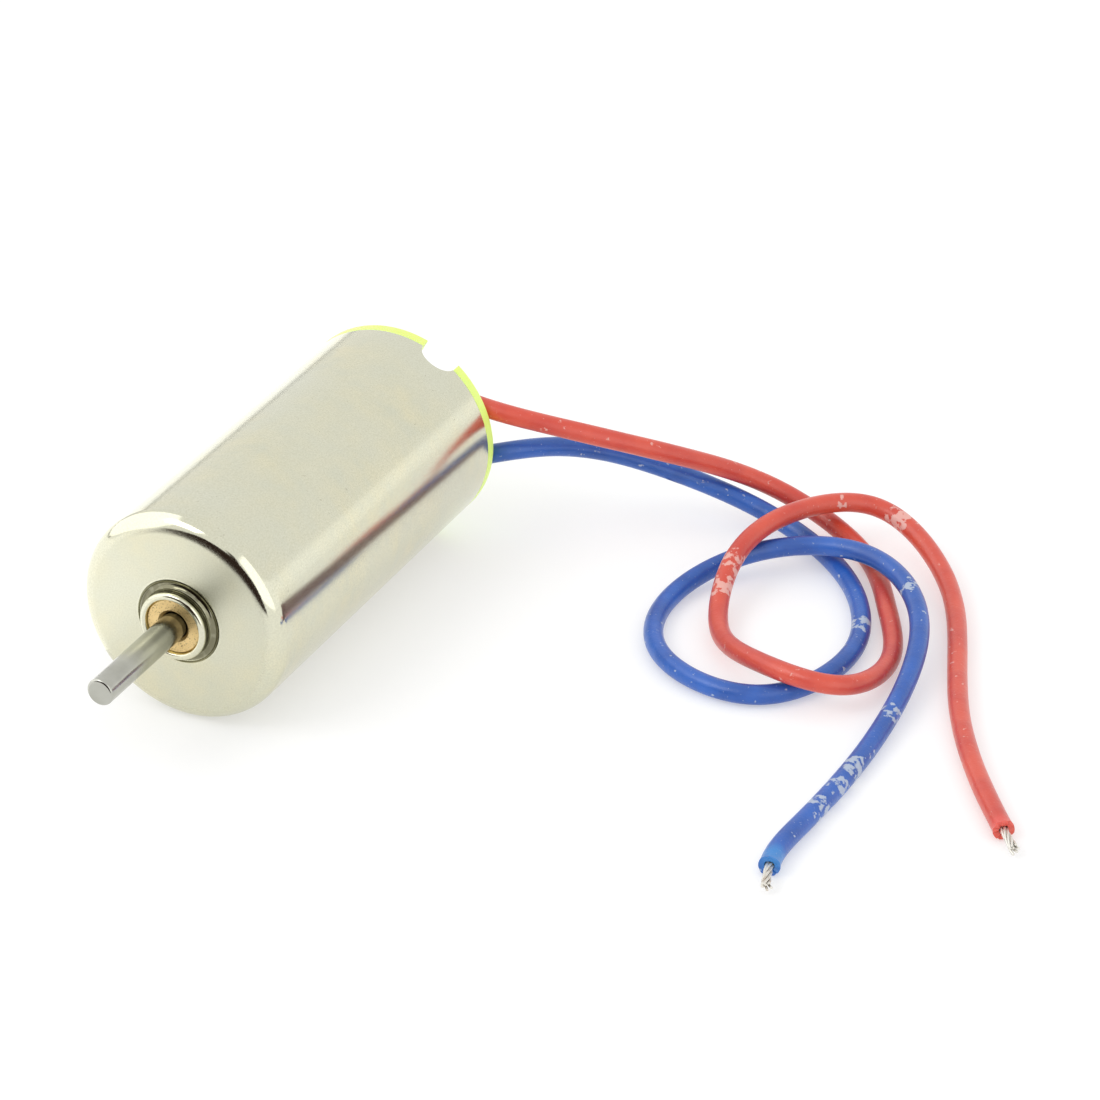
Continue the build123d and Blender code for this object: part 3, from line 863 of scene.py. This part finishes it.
MATERIALS = {
    "nickel_plated_steel": nickel_plate(),
    "shaft_steel": ground_steel(),
    "tube_steel": tube_steel(),
    "sintered_bronze": sintered_bronze(),
    "magnet": magnet_plate(),
    "copper_winding": enamelled_copper(),
    "epoxy": amber_epoxy(),
    "hub_plastic": hub_plastic(),
    "washer_plastic": washer_plastic(),
    "contact_gold": contact_gold(),
    "terminal_tin": tinned("terminal_tin", (0.66, 0.65, 0.62), (0.56, 0.55, 0.51), 0.3),
    "solder": tinned("solder", (0.74, 0.74, 0.75), (0.60, 0.60, 0.62), 0.22),
    "cap_plastic": cap_plastic(),
    "red_pvc": sleeve_pvc(
        "red_pvc", (0.70, 0.080, 0.040), (0.60, 0.050, 0.028), (0.84, 0.48, 0.42),
        marks(RED_PATH, RED_SCUFFS), marks(RED_PATH, RED_END), (0.85, 0.10, 0.08), 40,
    ),
    "blue_pvc": sleeve_pvc(
        "blue_pvc", (0.014, 0.115, 0.50), (0.008, 0.08, 0.38), (0.50, 0.57, 0.66),
        marks(BLUE_PATH, BLUE_SCUFFS), marks(BLUE_PATH, BLUE_END), (0.03, 0.32, 0.72), 60,
    ),
    "tinned_copper": tinned("tinned_copper", (0.84, 0.82, 0.77), (0.72, 0.69, 0.62), 0.48),
}


# ---- the motor ----------------------------------------------------------------------
def build_pieces():
    """Every piece that stands for a CAD node."""
    rng = random.Random(SEED)
    housing_can()
    bush("bush_front", "front_bush")
    bush("bush_rear", "rear_bush")
    shaft()
    bearing_tube()
    sleeve("magnet_ring", "ring_magnet", "magnet", BOSS_R + PRESS_GAP, edge=0.12)
    sleeve("washer", "thrust_washer", "washer_plastic", SHAFT_R + PRESS_GAP, body="rotor")
    rotor_hub()
    winding_cup()
    end_cap()
    solder_joint("solder_red", RED_PATH, "solder_positive")
    solder_joint("solder_blue", BLUE_PATH, "solder_negative")
    insulation("sleeve_red", RED_PATH, "red_insulation", "red_pvc", rng)
    insulation("sleeve_blue", BLUE_PATH, "blue_insulation", "blue_pvc", rng)
    strands("strands_red", RED_PATH, "red_conductor", rng)
    strands("strands_blue", BLUE_PATH, "blue_conductor", rng)


def paint_everything():
    """Give each piece and each CAD node the material of its slot."""
    slots = {row["node"]: row["material_slot"] for row in frame["record"]["subparts"]}
    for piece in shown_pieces():
        slot = piece.get("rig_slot") or slots[piece["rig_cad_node"]]
        if not piece.material_slots:
            piece.data.materials.append(None)
        for holder in piece.material_slots:
            holder.material = MATERIALS[slot]


# ---- studio -------------------------------------------------------------------------
def upright(x, along, height):
    """Corners of an upright rectangle at x, from its ranges in y and z."""
    (near, far), (foot, top) = along, height
    return [(x, near, foot), (x, far, foot), (x, far, top), (x, near, top)]


def level(z, across, along):
    """Corners of a level rectangle at z, from its ranges in x and y."""
    (left, right), (near, far) = across, along
    return [(left, near, z), (right, near, z), (right, far, z), (left, far, z)]


def stage_card(name, corners, colour, glow, reflected_only=True):
    """A flat stage object with corners in millimetres. A reflected-only card just glows."""
    mesh = bpy.data.meshes.new(name)
    places = [tuple(MM * c for c in corner) for corner in corners]
    mesh.from_pydata(places, [], [tuple(range(len(corners)))])
    card = bpy.data.objects.new(name, mesh)
    bpy.context.scene.collection.objects.link(card)
    paint = Paint(name, 0.9)
    paint.put("Base Color", (0, 0, 0) if reflected_only else colour)
    paint.put("Emission Color", colour)
    paint.put("Emission Strength", glow)
    paint.put("Specular IOR Level", 0.0)
    mesh.materials.append(paint.material)
    if reflected_only:
        card.visible_camera = False
        card.visible_diffuse = False
        card.visible_shadow = False
    return card


def soft_box(name, place, aim, size, power):
    """An area light at a place in millimetres that looks at an aim."""
    data = bpy.data.lights.new(name, "AREA")
    data.shape = "RECTANGLE"
    data.size, data.size_y = size[0] * MM, size[1] * MM
    data.energy = power
    light = bpy.data.objects.new(name, data)
    bpy.context.scene.collection.objects.link(light)
    light.location = Vector(place) * MM
    light.rotation_euler = (Vector(aim) - Vector(place)).to_track_quat("-Z", "Y").to_euler()
    return light


def studio():
    """Pale floor, bright even surroundings, a soft key light, white cards and dark flags."""
    world = bpy.data.worlds.new("studio")
    bpy.context.scene.world = world
    world.use_nodes = True
    world.node_tree.nodes["Background"].inputs["Color"].default_value = (1, 1, 1, 1)
    world.node_tree.nodes["Background"].inputs["Strength"].default_value = 1.0
    reach = (-2500, 2500)
    floor = level(FLOOR - 0.02, reach, reach)
    stage_card("floor", floor, (0.62, 0.62, 0.62), 0.66, reflected_only=False)
    white, dark, warm, plum = (1, 1, 1), (0.035, 0.022, 0.018), (1, 1, 0.9), (0.20, 0.13, 0.14)
    window = [(220, -50, 0), (220, 900, 0), (220, 900, 40), (220, 290, 60), (220, -50, 120)]
    stage_card("window", window, white, 1.2)
    stage_card("card_left", upright(-150, (-200, 90), (4, 300)), white, 1.7)
    stage_card("card_right", upright(150, (-240, -20), (-2, 200)), white, 1.7)
    stage_card("floor_left", level(-3.9, (-400, -5), (-40, 400)), white, 1.38)
    stage_card("horizon", upright(-390, (-100, 700), (-3.8, 20)), warm, 0.15)
    side = [(9, 4.1, 1.0), (9, 2.1, -0.5), (9, 23.5, -3.6), (9, 22.7, -2.8)]
    stage_card("flag_side", side, plum, 1.0)
    front = [(-13.5, -20, -3.9), (15, -20, -3.9), (15, -20, 6)]
    front += [(9, -20, 14), (-3, -20, 14), (-13.5, -20, 7)]
    stage_card("flag_front", front, dark, 1.0)
    over_camera = [(60, -250, 130), (110, -250, 130), (110, -220, 180), (60, -220, 180)]
    stage_card("camera_flag", over_camera, dark, 1.0)
    soft_box("key", (-100, -130, 190), (0, 6, 0), (150, 90), 0.12)


def camera():
    """Long lens, from the front right and above."""
    data = bpy.data.cameras.new("camera")
    data.lens = 157.09
    data.sensor_width = 36
    data.clip_start = 0.01
    data.clip_end = 10
    made = bpy.data.objects.new("camera", data)
    bpy.context.scene.collection.objects.link(made)
    made.location = Vector((75.046, -121.159, 85.023)) * MM
    made.rotation_euler = (math.radians(90 - CAMERA_ELEVATION), 0, math.radians(CAMERA_AZIMUTH))
    bpy.context.scene.camera = made


build_pieces()
paint_everything()
studio()
camera()
bpy.context.scene.view_settings.view_transform = "Standard"
